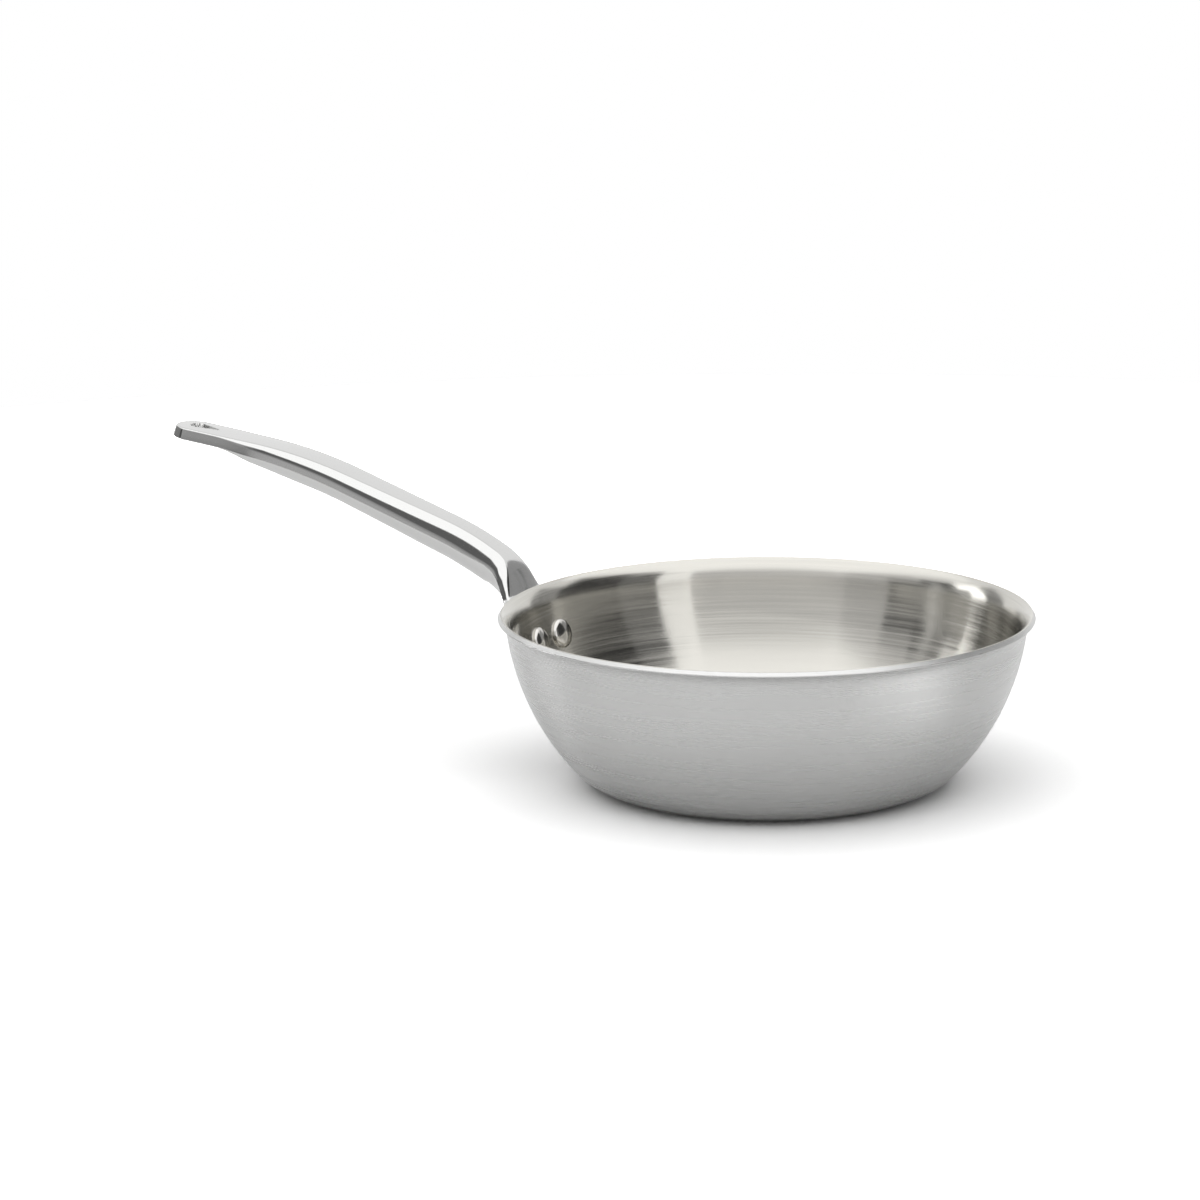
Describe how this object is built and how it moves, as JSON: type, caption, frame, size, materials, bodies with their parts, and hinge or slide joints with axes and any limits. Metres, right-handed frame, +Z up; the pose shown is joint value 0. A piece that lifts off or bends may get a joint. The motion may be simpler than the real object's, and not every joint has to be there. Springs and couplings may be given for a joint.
{
  "type": "saucier pan",
  "caption": "Deep round saucier pan of clad steel with a flared pouring lip and a long hollow riveted handle ending in a hanging slot.",
  "frame": {"origin": "centre of the flat base, on the surface that the pan stands on", "axes": "+Z up along the pan's axis; the handle points along -X; +Y is to the left of someone who looks from the handle's tip to the pan"},
  "size_m": [0.4309, 0.24, 0.1403],
  "materials": {
    "satin_steel": "satin, brushed round the pan's axis",
    "aluminium_layer": "cut edge of rolled sheet",
    "polished_steel": "bright polished"
  },
  "bodies": {
    "root": {"outer_skin": "satin_steel", "aluminium_core": "aluminium_layer", "inner_skin": "satin_steel", "handle": "polished_steel", "rivet_left": "polished_steel", "rivet_right": "polished_steel"}
  },
  "joints": []
}
